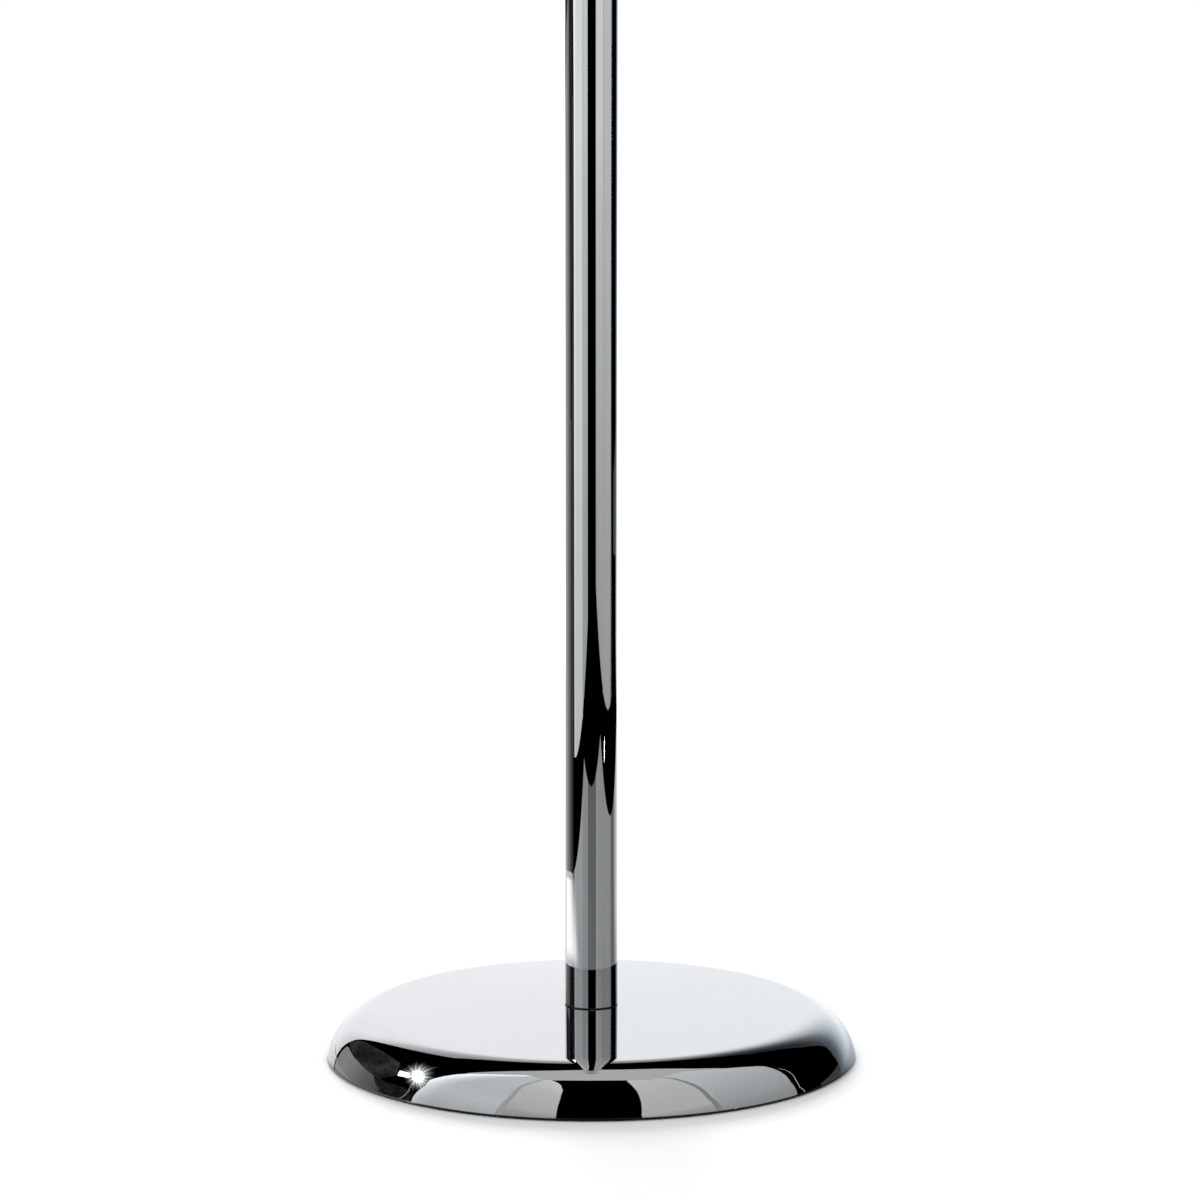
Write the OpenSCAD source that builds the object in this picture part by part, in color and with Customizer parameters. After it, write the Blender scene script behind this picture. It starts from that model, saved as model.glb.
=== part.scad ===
// Rope barrier stanchion: a weighted round base under a spun chrome cover, a slim chrome tube, and a
// ball-topped head whose four-eye rope collar turns freely on the post. All sizes are in millimetres.
// The origin is on the floor at the middle of the base, with +Z up the post.

/* [Post] */
// Height from the floor to the top of the ball
total_h = 1000; // [900:10:1100]
// Outside diameter of the tube
tube_d = 32; // [30:0.5:34]
// Wall thickness of the tube
tube_wall = 1.5; // [1.2:0.1:1.8]

/* [Base] */
// Outside diameter of the base
base_d = 320; // [300:5:360]
// Height of the base cover at its middle
base_h = 30.5; // [30.5:0.5:33]
// Sheet thickness of the base cover
cover_t = 1.2; // [0.8:0.1:1.5]
// Thickness of the cast weight's plate
plate_h = 15; // [10:0.5:16]

/* [Head] */
// Diameter of the ball
ball_d = 50; // [44:1:52]
// Radius from the post's axis to the middle of each rope eye
eye_pitch_r = 33; // [32:0.5:38]
// Diameter of the hole in each rope eye
eye_hole_d = 14; // [10:0.5:16]
// Width of metal round each rope eye
eye_wall = 5; // [4:0.5:6]
// Height of the collar's hub
collar_h = 7; // [6.5:0.5:10]

/* [Hidden] */
$fn = 96;
EPS = 0.01;

// Cover outline: two arcs roll the rim over into a very shallow dome.
// The angles are those of the outward normal above the horizontal. Each band of the sheet laps into
// the next one outwards and sits spin_step below it, which is the depth of a spinning tool's mark.
base_r = base_d / 2;
rim_a0 = 14;
rim_a1 = 45;
rim_a2 = 88.6;
rim_r1 = 40;
rim_r2 = 28;
spin_step = 0.02;
band_lap = 0.8;
hem_r = 0.9;
hem_w = 8;
rim_h = rim_r1 * (sin(rim_a1) - sin(rim_a0)) + rim_r2 * (sin(rim_a2) - sin(rim_a1));
rim_w = rim_r1 * (cos(rim_a0) - cos(rim_a1)) + rim_r2 * (cos(rim_a1) - cos(rim_a2));
lip_r = base_r - hem_r * (1 - cos(rim_a0));
shoulder_r = lip_r - rim_w;
dome_r = shoulder_r / cos(rim_a2);
dome_h = dome_r * (1 - sin(rim_a2));
lip_z = base_h - dome_h - rim_h + 2 * spin_step;
arc1_c = [lip_r - rim_r1 * cos(rim_a0), lip_z - rim_r1 * sin(rim_a0)];
arc2_c = arc1_c + (rim_r1 - rim_r2 - spin_step) * [cos(rim_a1), sin(rim_a1)];
lap_a1 = rim_a1 - band_lap / rim_r2 * 180 / PI;
hem_c = [base_r - hem_r, lip_z - hem_r * sin(rim_a0)];
hem_z = hem_c[1] - hem_r;

// Weight casting and what clamps the post to it
weight_z = hem_z + cover_t;
weight_r = base_r - 2.8;
weight_edge_h = 2;
weight_top_r = base_r - 10.5;
boss_r = 34;
rib_count = 6;
rib_w = 8;
rib_len = 112;
recess_r = 26;
support_disc_r = 30;
support_disc_t = 3;
support_z = base_h - cover_t - support_disc_r * support_disc_r / (2 * dome_r);
boss_top_z = support_z - support_disc_t;
bolt_d = 12;
bolt_clear_r = 6.6;
bolt_head_af = 19;
bolt_head_h = 7.5;
bolt_len = 50;
plate_washer_r = 22;
plate_washer_t = 3;
spring_washer_r = 10.5;
spring_washer_t = 2.6;
recess_z = 15.2;
washer_z = recess_z - plate_washer_t;
bolt_seat_z = washer_z - spring_washer_t;
groove_r = base_r - 11;
groove_w = 3;
groove_h = 3;

// Post
tube_r = tube_d / 2;
bore_r = tube_r - tube_wall;
gasket_t = 0.6;
gasket_inset = 0.4;
tube_z = base_h + gasket_t;
foot_plug_h = 40;

// Head, stacked from the ball downwards
ball_r = ball_d / 2;
ball_wall = 1.5;
ball_seat_r = 11;
ball_z = total_h - ball_r;
ball_cut_z = ball_z - sqrt(ball_r * ball_r - ball_seat_r * ball_seat_r);
flange_r = tube_r + 3;
seat_h = 8;
seat_z = ball_cut_z - seat_h;
thrust_t = 1;
spring_gap = 1.2;
upper_thrust_z = seat_z - spring_gap - thrust_t;
collar_play = 0.05;
collar_z = upper_thrust_z - collar_play - collar_h;
lower_thrust_z = collar_z - thrust_t;
neck_flange_h = 6;
tube_top_z = lower_thrust_z - neck_flange_h;
spigot_h = 28;
journal_r = 10;
running_gap = 0.05;
bush_r = 12;
bush_inset = 0.2;
stud_d = 10;
stud_z = tube_top_z - 22;
stud_top_z = ball_cut_z + 13;
nut_af = 16;
nut_h = 5;
nut_pocket_r = 9.6;
nut_z = ball_cut_z - nut_h - 0.05;
insert_r = 9;
insert_h = 18;
thread_gap = 0.05;
web_r = 26;
web_h = 4.4;
eye_h = 6;
eye_edge_r = 1;
eye_r = eye_hole_d / 2;
eye_count = 4;

function on_arc(c, r, a) = c + r * [cos(a), sin(a)];

// The part of a round wall, t thick and r in radius outside, that lies between two angles
module arc_band(c, r, t, a0, a1) {
    mid = (a0 + a1) / 2;
    reach = 1.1 * r / cos(mid - a0);
    translate(c) intersection() {
        difference() {
            circle(r);
            if (t < r) circle(r - t);
        }
        polygon([[0, 0], on_arc([0, 0], reach, a0), on_arc([0, 0], reach, mid), on_arc([0, 0], reach, a1)]);
    }
}

// A ring with its outer and inner edges rounded, standing on z
module rounded_ring(r_in, r_out, z, h, edge) {
    translate([0, 0, z]) rotate_extrude() {
        translate([r_in + edge, 0]) square([r_out - r_in - 2 * edge, h]);
        translate([r_in, edge]) square([r_out - r_in, h - 2 * edge]);
        for (x = [r_in + edge, r_out - edge], y = [edge, h - edge]) translate([x, y]) circle(edge);
    }
}

module plain_ring(r_in, r_out, z, h) {
    translate([0, 0, z]) difference() {
        cylinder(r = r_out, h = h);
        translate([0, 0, -1]) cylinder(r = r_in, h = h + 2);
    }
}

// A threaded rod, drawn as rings of thread form at the real pitch
module thread(d, pitch, z, h) {
    crest = d / 2;
    root = crest - 0.6 * pitch;
    turns = floor(h / pitch);
    translate([0, 0, z]) rotate_extrude() polygon([
        [0, 0],
        for (i = [0 : turns - 1]) each [[root, i * pitch], [crest, (i + 0.5) * pitch]],
        [root, turns * pitch],
        [root, h],
        [0, h]
    ]);
}

module hex(af, z, h) {
    translate([0, 0, z]) rotate([0, 0, 30]) cylinder(r = af / sqrt(3), h = h, $fn = 6);
}

// A hexagon with its corners turned off at the top and the bottom
module turned_hex(af, z, h) {
    corner_r = af / sqrt(3);
    crown = (corner_r - af / 2) * 0.6;
    intersection() {
        hex(af, z, h);
        translate([0, 0, z]) rotate_extrude() polygon([
            [0, 0], [corner_r - 1.7 * crown, 0], [corner_r + EPS, crown],
            [corner_r + EPS, h - crown], [corner_r - 1.7 * crown, h], [0, h]
        ]);
    }
}

// The spun cover: a rolled rim, a flat hem turned in under the weight, and a bolt hole in the middle
module base_cover() {
    color("silver") {
        rotate_extrude() intersection() {
            difference() {
                translate([0, base_h - dome_r]) circle(dome_r);
                translate([0, base_h - dome_r]) circle(dome_r - cover_t);
            }
            translate([bolt_clear_r, base_h / 2]) square([shoulder_r + band_lap - bolt_clear_r, base_h]);
        }
        rotate_extrude() arc_band(arc2_c, rim_r2, cover_t + 3 * spin_step, lap_a1, rim_a2);
        rotate_extrude() arc_band(arc1_c, rim_r1, cover_t + 6 * spin_step, rim_a0, rim_a1);
        rotate_extrude() arc_band(hem_c, hem_r, hem_r, -90, rim_a0);
        plain_ring(base_r - hem_w, hem_c[0], hem_z, cover_t);
    }
}

// The iron casting that makes the post stand: plate, ribs and a boss that holds the cover up
module base_weight() {
    plate_top_z = weight_z + plate_h;
    color("dimgray") difference() {
        union() {
            rotate_extrude() polygon([
                [0, weight_z], [weight_r, weight_z], [weight_r, weight_z + weight_edge_h],
                [weight_top_r, plate_top_z], [0, plate_top_z]
            ]);
            cylinder(r = boss_r, h = boss_top_z);
            for (i = [0 : rib_count - 1]) rotate([0, 0, i * 360 / rib_count])
                translate([0, -rib_w / 2, plate_top_z - 1]) cube([rib_len, rib_w, boss_top_z - plate_top_z - 2]);
        }
        translate([0, 0, -1]) cylinder(r = boss_r + 1, h = 1 + weight_z);
        translate([0, 0, -1]) cylinder(r = recess_r, h = recess_z + 1);
        cylinder(r = bolt_clear_r, h = base_h);
        plain_ring(groove_r - groove_w / 2, groove_r + groove_w / 2, -1, weight_z + groove_h + 1);
        for (i = [0 : rib_count - 1]) rotate([0, 0, i * 360 / rib_count]) translate([88, 0, weight_z - 1])
            cylinder(r1 = 25, r2 = 22, h = 4);
    }
}

// The rubber ring under the hem, with a tongue pressed into the weight's groove
module floor_ring() {
    ring_out = base_r - 1.8;
    ring_in = base_r - hem_w - 8;
    tongue_r = groove_w / 2 - 0.1;
    color([0.08, 0.08, 0.09]) {
        rotate_extrude() {
            translate([ring_in + 0.4, 0]) square([ring_out - ring_in - 0.8, hem_z]);
            translate([ring_in, 0.4]) square([ring_out - ring_in, hem_z - 0.4]);
            for (x = [ring_in + 0.4, ring_out - 0.4]) translate([x, 0.4]) circle(0.4);
            translate([ring_in, hem_z - EPS]) square([base_r - hem_w - 0.2 - ring_in, weight_z - hem_z + EPS]);
            translate([groove_r - tongue_r, hem_z]) square([2 * tongue_r, weight_z + groove_h - 0.3 - hem_z]);
        }
    }
}

module cover_support_disc() {
    color("gray") plain_ring(bolt_clear_r, support_disc_r, boss_top_z, support_disc_t);
}

// Hex bolt pushed up through the base into the foot plug
module base_bolt() {
    thread_h = 30;
    color("lightgray") {
        turned_hex(bolt_head_af, bolt_seat_z - bolt_head_h, bolt_head_h);
        translate([0, 0, bolt_seat_z - EPS]) cylinder(d = bolt_d, h = bolt_len - thread_h + EPS);
        thread(bolt_d, 1.75, bolt_seat_z + bolt_len - thread_h - EPS, thread_h);
    }
}

module plate_washer() {
    color("lightgray") plain_ring(bolt_clear_r, plate_washer_r, washer_z, plate_washer_t);
}

module spring_washer() {
    color("gray") difference() {
        plain_ring(bolt_clear_r, spring_washer_r, bolt_seat_z, spring_washer_t);
        rotate([0, 0, 40]) translate([0, -0.6, bolt_seat_z - 1]) cube([20, 1.2, spring_washer_t + 2]);
    }
}

// The thin black washer that shows as a dark line where the tube meets the cover
module foot_gasket() {
    color([0.06, 0.06, 0.06]) plain_ring(bolt_clear_r, tube_r - gasket_inset, base_h, gasket_t);
}

// Steel plug pressed into the foot of the tube and tapped for the base bolt
module foot_plug() {
    groove_z = [12, 24];
    color("gray") translate([0, 0, tube_z]) rotate_extrude() polygon([
        [bolt_d / 2 + thread_gap, 0], [bore_r, 0],
        for (z = groove_z) each [[bore_r, z], [bore_r - 0.8, z + 0.8], [bore_r - 0.8, z + 3.2], [bore_r, z + 4]],
        [bore_r, foot_plug_h - 1], [bore_r - 1, foot_plug_h], [bolt_d / 2 + thread_gap, foot_plug_h]
    ]);
}

module post_tube() {
    color("silver") plain_ring(bore_r, tube_r, tube_z, tube_top_z - tube_z);
}

// Turned fitting in the top of the tube: a spigot, a flange and the journal that the collar turns on
module neck_fitting() {
    color("silver") difference() {
        union() {
            translate([0, 0, tube_top_z - spigot_h]) cylinder(r1 = bore_r - 1, r2 = bore_r, h = 1);
            translate([0, 0, tube_top_z - spigot_h + 1]) cylinder(r = bore_r, h = spigot_h - 1 + EPS);
            rounded_ring(journal_r - 2, flange_r, tube_top_z, neck_flange_h, 1.5);
            translate([0, 0, tube_top_z]) cylinder(r = journal_r, h = seat_z - tube_top_z);
        }
        translate([0, 0, tube_top_z - spigot_h - 1])
            cylinder(r = stud_d / 2 + thread_gap, h = seat_z - tube_top_z + spigot_h + 2);
    }
}

module lower_thrust_washer() {
    color("whitesmoke") plain_ring(journal_r + running_gap, flange_r - 1.5, lower_thrust_z, thrust_t);
}

// One rope eye: a round-edged ring with a true round hole
module rope_eye() {
    mid_z = collar_z + collar_h / 2;
    translate([eye_pitch_r, 0, 0]) rounded_ring(eye_r, eye_r + eye_wall, mid_z - eye_h / 2, eye_h, eye_edge_r);
}

// The casting that the rope hooks clip to: a hub, a web and four eyes
module rope_collar() {
    mid_z = collar_z + collar_h / 2;
    color("silver") difference() {
        union() {
            rounded_ring(bush_r - 1, flange_r, collar_z, collar_h, 1);
            rounded_ring(bush_r + 1, web_r, mid_z - web_h / 2, web_h, 1.4);
            for (i = [0 : eye_count - 1]) rotate([0, 0, i * 360 / eye_count]) rope_eye();
        }
        translate([0, 0, collar_z - 1]) cylinder(r = bush_r, h = collar_h + 2);
        for (i = [0 : eye_count - 1]) rotate([0, 0, i * 360 / eye_count])
            translate([eye_pitch_r, 0, mid_z - eye_h / 2 + eye_edge_r]) cylinder(r = eye_r, h = eye_h - 2 * eye_edge_r);
    }
}

module collar_bush() {
    color("whitesmoke")
        plain_ring(journal_r + running_gap, bush_r, collar_z + bush_inset, collar_h - 2 * bush_inset);
}

module upper_thrust_washer() {
    color("whitesmoke") plain_ring(journal_r + running_gap, flange_r - 1.5, upper_thrust_z, thrust_t);
}

// Dished spring ring that takes up the play in the stack
module disc_spring() {
    r_in = journal_r + 0.3;
    r_out = flange_r - 2.5;
    t = 0.4;
    color("gray") rotate_extrude() polygon([
        [r_in, seat_z - spring_gap], [r_out, seat_z - t], [r_out, seat_z], [r_in, seat_z - spring_gap + t]
    ]);
}

// Turned seat under the ball. Its flange keeps the collar on, and a nut in its pocket clamps it down
module finial_seat() {
    waist_r = ball_seat_r + 0.6;
    cove_r = 4.5;
    color("silver") difference() {
        union() {
            rounded_ring(stud_d / 2, flange_r, seat_z, 3, 1.2);
            rotate_extrude() difference() {
                translate([0, seat_z + 1]) square([waist_r + cove_r, seat_h - 1]);
                translate([waist_r + cove_r, seat_z + 3 + cove_r]) circle(cove_r);
                translate([waist_r, seat_z + 3 + cove_r]) square([cove_r + 1, seat_h]);
            }
        }
        translate([0, 0, seat_z - 1]) cylinder(r = stud_d / 2 + thread_gap, h = seat_h + 2);
        translate([0, 0, nut_z]) cylinder(r = nut_pocket_r, h = seat_h);
    }
}

module jam_nut() {
    color("lightgray") difference() {
        turned_hex(nut_af, nut_z, nut_h);
        translate([0, 0, nut_z - 1]) cylinder(r = stud_d / 2 + thread_gap, h = nut_h + 2);
    }
}

module head_stud() {
    color("lightgray") thread(stud_d, 1.5, stud_z, stud_top_z - stud_z);
}

// Hollow spun ball, cut flat where it sits and bored for its insert
module ball_finial() {
    color("silver") difference() {
        translate([0, 0, ball_z]) sphere(r = ball_r);
        translate([0, 0, ball_z]) sphere(r = ball_r - ball_wall);
        translate([-ball_r, -ball_r, ball_cut_z - ball_d]) cube([ball_d, ball_d, ball_d]);
        translate([0, 0, ball_cut_z - 1]) cylinder(r = insert_r, h = 8);
    }
}

// Brass plug brazed into the ball and tapped for the stud
module ball_insert() {
    color("goldenrod") difference() {
        translate([0, 0, ball_cut_z]) cylinder(r = insert_r, h = insert_h);
        translate([0, 0, ball_cut_z - 1]) cylinder(r = stud_d / 2 + thread_gap, h = insert_h - 2);
    }
}

base_cover();
base_weight();
floor_ring();
cover_support_disc();
base_bolt();
plate_washer();
spring_washer();
foot_gasket();
foot_plug();
post_tube();
neck_fitting();
lower_thrust_washer();
rope_collar();
collar_bush();
upper_thrust_washer();
disc_spring();
finial_seat();
jam_nut();
head_stud();
ball_finial();
ball_insert();
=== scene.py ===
from math import cos, hypot, pi, radians, sin, sqrt

import bmesh
import bpy
import numpy as np
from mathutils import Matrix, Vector


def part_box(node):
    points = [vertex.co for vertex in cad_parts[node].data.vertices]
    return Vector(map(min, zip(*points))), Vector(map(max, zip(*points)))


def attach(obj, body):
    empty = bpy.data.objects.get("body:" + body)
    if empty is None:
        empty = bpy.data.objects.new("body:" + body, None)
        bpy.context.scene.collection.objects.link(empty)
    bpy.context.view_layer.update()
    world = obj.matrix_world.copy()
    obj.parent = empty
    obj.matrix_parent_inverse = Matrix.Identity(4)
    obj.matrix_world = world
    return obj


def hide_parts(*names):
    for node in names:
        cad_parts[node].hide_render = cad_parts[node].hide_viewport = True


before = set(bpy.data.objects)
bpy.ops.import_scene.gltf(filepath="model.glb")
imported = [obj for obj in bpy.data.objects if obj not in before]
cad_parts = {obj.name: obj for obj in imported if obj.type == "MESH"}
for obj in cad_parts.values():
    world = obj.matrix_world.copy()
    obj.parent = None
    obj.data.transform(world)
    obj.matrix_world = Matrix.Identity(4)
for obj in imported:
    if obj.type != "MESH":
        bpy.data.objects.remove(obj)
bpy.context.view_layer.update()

MM = 0.001

# How many flats go round a turned piece.
COVER_TURNS = 512
TUBE_TURNS = 192
HEAD_TURNS = 160
GASKET_TURNS = 128
ROUGH_TURNS = 96
SHARP_ANGLE = radians(28.0)

# ---------------------------------------------------------------- camera
# A studio camera two metres in front of the post, at half the post's height, tipped down a little.
# Its height, turn, tilt and lens are fitted values.
CAMERA_PLACE = (0.0, -2.0, 0.4968)
CAMERA_PAN = radians(0.152)
CAMERA_TILT = radians(6.283)
CAMERA_LENS = 100.9
SENSOR = 36.0


def make_camera():
    data = bpy.data.cameras.new("camera")
    data.lens = CAMERA_LENS
    data.sensor_width = SENSOR
    data.clip_start = 0.05
    data.clip_end = 100.0
    camera = bpy.data.objects.new("camera", data)
    bpy.context.scene.collection.objects.link(camera)
    camera.location = CAMERA_PLACE
    level = cos(CAMERA_TILT)
    look = Vector((sin(CAMERA_PAN) * level, cos(CAMERA_PAN) * level, -sin(CAMERA_TILT)))
    camera.rotation_euler = look.to_track_quat("-Z", "Y").to_euler()
    bpy.context.scene.camera = camera


make_camera()


# ---------------------------------------------------------------- node helpers
class Shader:
    """A material's node tree, with short calls for the nodes used here."""

    def __init__(self, name):
        self.material = bpy.data.materials.new(name)
        self.material.use_nodes = True
        self.tree = self.material.node_tree
        self.tree.nodes.clear()
        self.output = self.tree.nodes.new("ShaderNodeOutputMaterial")

    def node(self, kind, inputs=None, **settings):
        made = self.tree.nodes.new("ShaderNode" + kind)
        for key, value in settings.items():
            setattr(made, key, value)
        for key, value in (inputs or {}).items():
            self.feed(made.inputs[key], value)
        return made

    def feed(self, socket, value):
        if isinstance(value, bpy.types.NodeSocket):
            self.tree.links.new(value, socket)
        else:
            socket.default_value = value

    def place(self, scale=(1.0, 1.0, 1.0)):
        """Object coordinates in metres, stretched by scale."""
        spot = self.node("TexCoord").outputs["Object"]
        return self.node("Mapping", {"Vector": spot, "Scale": scale}).outputs["Vector"]

    def noise(self, scale, detail=3.0, stretch=(1.0, 1.0, 1.0), roughness=0.5, distortion=0.0):
        inputs = {
            "Vector": self.place(stretch),
            "Scale": scale,
            "Detail": detail,
            "Roughness": roughness,
            "Distortion": distortion,
        }
        return self.node("TexNoise", inputs).outputs["Fac"]

    def math(self, operation, first, second=0.0):
        made = self.node("Math", operation=operation)
        self.feed(made.inputs[0], first)
        self.feed(made.inputs[1], second)
        return made.outputs[0]

    def between(self, value, from_low, from_high, low, high, smooth=False):
        """value, moved from one range into another and kept inside it."""
        made = self.node("MapRange", {"Value": value})
        made.interpolation_type = "SMOOTHSTEP" if smooth else "LINEAR"
        limits = {"From Min": from_low, "From Max": from_high, "To Min": low, "To Max": high}
        for key, limit in limits.items():
            made.inputs[key].default_value = limit
        return made.outputs["Result"]

    def ramp(self, value, stops):
        """A colour from value, along stops of (place, colour)."""
        made = self.node("ValToRGB", {"Fac": value})
        ramp = made.color_ramp
        while len(ramp.elements) < len(stops):
            ramp.elements.new(1.0)
        for element, (place, colour) in zip(ramp.elements, stops):
            element.position = place
            element.color = (*colour, 1.0)
        return made.outputs["Color"]

    def bump(self, height, distance, strength=1.0, under=None):
        inputs = {"Height": height, "Distance": distance, "Strength": strength}
        made = self.node("Bump", inputs)
        if under is not None:
            self.feed(made.inputs["Normal"], under)
        return made.outputs["Normal"]

    def principled(self, **inputs):
        made = self.node("BsdfPrincipled")
        for key, value in inputs.items():
            self.feed(made.inputs[key.replace("_", " ")], value)
        self.tree.links.new(made.outputs[0], self.output.inputs["Surface"])
        return self.material

    def emit(self, colour, strength):
        made = self.node("Emission", {"Color": colour, "Strength": strength})
        self.tree.links.new(made.outputs[0], self.output.inputs["Surface"])
        return self.material


def tinted(colour, factor):
    """A colour made paler or darker by factor, with no channel over 1."""
    return tuple(min(1.0, channel * factor) for channel in colour)


# ---------------------------------------------------------------- materials
def chrome(name, colour, streak, haze=1.0, edge_tint=(0.85, 0.86, 0.87)):
    """Bright chrome plate: a near mirror, with faint wiping haze, polishing streaks and orange peel."""
    shader = Shader(name)
    cloud = shader.noise(22.0, 4.0)
    lines = shader.noise(420.0, 3.0, streak, 0.7)
    mixed = shader.math("ADD", shader.math("MULTIPLY", cloud, 0.4), shader.math("MULTIPLY", lines, 0.6))
    base = shader.ramp(mixed, [(0.3, tinted(colour, 0.95)), (0.7, tinted(colour, 1.04))])
    wiped = shader.noise(9.0, 5.0, (1.0, 1.0, 0.45), 0.6, 1.2)
    smudge = shader.between(wiped, 0.45, 0.75, 0.016 * haze, 0.05 * haze, True)
    grain = shader.between(lines, 0.5, 0.8, 0.0, 0.02 * haze, True)
    rough = shader.math("ADD", smudge, grain)
    peel = shader.noise(35.0, 0.0)
    normal = shader.bump(peel, 0.000004)
    return shader.principled(
        Base_Color=base,
        Metallic=1.0,
        Roughness=rough,
        Specular_Tint=(*edge_tint, 1.0),
        Normal=normal,
    )


def rubber(name, shade, gloss, scale):
    """Moulded black rubber: a fine matt skin with paler, dusty rub marks."""
    shader = Shader(name)
    dust = shader.noise(scale, 6.0, (1.0, 1.0, 1.0), 0.65)
    dark = (shade, shade, shade * 1.05)
    pale = tinted(dark, 2.1)
    base = shader.ramp(dust, [(0.35, dark), (0.62, tinted(dark, 1.25)), (0.85, pale)])
    rough = shader.between(dust, 0.3, 0.8, gloss, min(1.0, gloss + 0.2))
    pores = shader.noise(2600.0, 3.0)
    normal = shader.bump(pores, 0.00006, 0.6)
    return shader.principled(Base_Color=base, Roughness=rough, Normal=normal)


def cast_iron(name):
    """Black-dipped iron casting: a lumpy sand-cast skin, thin on its high spots."""
    shader = Shader(name)
    lumps = shader.noise(420.0, 6.0, (1.0, 1.0, 1.0), 0.7)
    stain = shader.noise(26.0, 5.0, (1.0, 1.0, 1.0), 0.6, 0.8)
    dip = (0.014, 0.014, 0.015)
    worn = (0.026, 0.026, 0.027)
    rusty = (0.05, 0.043, 0.038)
    base = shader.ramp(stain, [(0.35, dip), (0.6, worn), (0.78, rusty)])
    rough = shader.between(lumps, 0.3, 0.7, 0.42, 0.78)
    normal = shader.bump(lumps, 0.0005, 0.8)
    return shader.principled(Base_Color=base, Roughness=rough, Normal=normal, Metallic=0.15)


def worked_steel(name, colour, rough_low, rough_high, blotch):
    """Plain or plated steel with tool marks that run round the part and a blotched finish."""
    shader = Shader(name)
    patch = shader.noise(blotch, 5.0, (1.0, 1.0, 1.0), 0.6, 0.6)
    base = shader.ramp(patch, [(0.32, tinted(colour, 0.72)), (0.55, colour), (0.8, tinted(colour, 1.2))])
    turned = shader.noise(900.0, 2.0, (0.06, 0.06, 1.0), 0.6)
    rough = shader.between(patch, 0.3, 0.75, rough_low, rough_high)
    normal = shader.bump(turned, 0.00002, 0.7)
    return shader.principled(Base_Color=base, Metallic=1.0, Roughness=rough, Normal=normal)


def nylon(name):
    """Cut nylon: off-white and waxy, a little greyed by wear."""
    shader = Shader(name)
    wear = shader.noise(160.0, 5.0, (1.0, 1.0, 1.0), 0.6)
    base = shader.ramp(wear, [(0.3, (0.62, 0.6, 0.54)), (0.7, (0.78, 0.765, 0.71))])
    rough = shader.between(wear, 0.3, 0.7, 0.34, 0.5)
    normal = shader.bump(shader.noise(1500.0, 2.0, (0.2, 0.2, 1.0)), 0.00002, 0.5)
    return shader.principled(Base_Color=base, Roughness=rough, Normal=normal)


# The cover's plate is drawn darker than the rest, with a lower edge tint: painted shade that dims
# all its reflections, on the same chrome plate as the tube. Both colours were chosen together with the
# strengths of the studio's cards, and suit that set of lights only.
TUBE_CHROME = (0.635, 0.65, 0.66)
COVER_CHROME = (0.435, 0.44, 0.445)

ALONG_POST = (1.0, 1.0, 0.005)
EVERY_WAY = (1.0, 1.0, 1.0)

cover_chrome = chrome("cover_chrome", COVER_CHROME, EVERY_WAY, 1.0, (0.72, 0.72, 0.73))
tube_chrome = chrome("tube_chrome", TUBE_CHROME, ALONG_POST, 0.6)
turned_chrome = chrome("turned_chrome", TUBE_CHROME, (0.3, 0.3, 4.0))
cast_chrome = chrome("cast_chrome", TUBE_CHROME, EVERY_WAY, 2.0)
ball_chrome = chrome("ball_chrome", TUBE_CHROME, EVERY_WAY)
ring_rubber = rubber("ring_rubber", 0.018, 0.62, 130.0)
gasket_rubber = rubber("gasket_rubber", 0.008, 0.28, 400.0)
casting = cast_iron("black_dipped_casting")
zinc = worked_steel("zinc_plate", (0.55, 0.57, 0.6), 0.22, 0.42, 240.0)
spring = worked_steel("oiled_spring_steel", (0.13, 0.135, 0.15), 0.25, 0.45, 320.0)
mild = worked_steel("mild_steel", (0.34, 0.335, 0.33), 0.3, 0.55, 150.0)
brass = worked_steel("insert_brass", (0.62, 0.43, 0.19), 0.25, 0.45, 260.0)
washer_nylon = nylon("washer_nylon")

NODE_FINISH = {
    "base_weight": casting,
    "floor_ring": ring_rubber,
    "cover_support_disc": mild,
    "foot_plug": mild,
    "base_bolt": zinc,
    "plate_washer": zinc,
    "jam_nut": zinc,
    "head_stud": zinc,
    "spring_washer": spring,
    "disc_spring": spring,
    "lower_thrust_washer": washer_nylon,
    "upper_thrust_washer": washer_nylon,
    "collar_bush": washer_nylon,
    "ball_insert": brass,
}

for node_name, finish in NODE_FINISH.items():
    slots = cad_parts[node_name].data.materials
    slots.clear()
    slots.append(finish)


# ---------------------------------------------------------------- mesh helpers
def add_piece(name, mesh, material, body, cad_node):
    """Shows a finished mesh in the place of a CAD node."""
    mesh.materials.clear()
    mesh.materials.append(material)
    piece = bpy.data.objects.new(name, mesh)
    bpy.context.scene.collection.objects.link(piece)
    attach(piece, body)
    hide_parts(cad_node)
    return piece


def lathe_mesh(name, profile, turns, centre=(0.0, 0.0)):
    """A mesh turned from a closed outline of (radius, height), with one point for each ring on the axis."""
    mesh = bpy.data.meshes.new(name)
    made = bmesh.new()
    rings = []
    for radius, height in profile:
        if radius < 1e-9:
            rings.append([made.verts.new((centre[0], centre[1], height))] * turns)
            continue
        ring = []
        for step in range(turns):
            angle = 2.0 * pi * step / turns
            x = centre[0] + radius * cos(angle)
            y = centre[1] + radius * sin(angle)
            ring.append(made.verts.new((x, y, height)))
        rings.append(ring)
    for low, high in zip(rings, rings[1:] + rings[:1]):
        for step in range(turns):
            after = (step + 1) % turns
            corners = [low[step], low[after], high[after], high[step]]
            face = [v for i, v in enumerate(corners) if v not in corners[:i]]
            if len(face) > 2:
                made.faces.new(face)
    bmesh.ops.recalc_face_normals(made, faces=made.faces)
    made.to_mesh(mesh)
    made.free()
    mesh.shade_smooth()
    mesh.set_sharp_from_angle(angle=SHARP_ANGLE)
    return mesh


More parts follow.
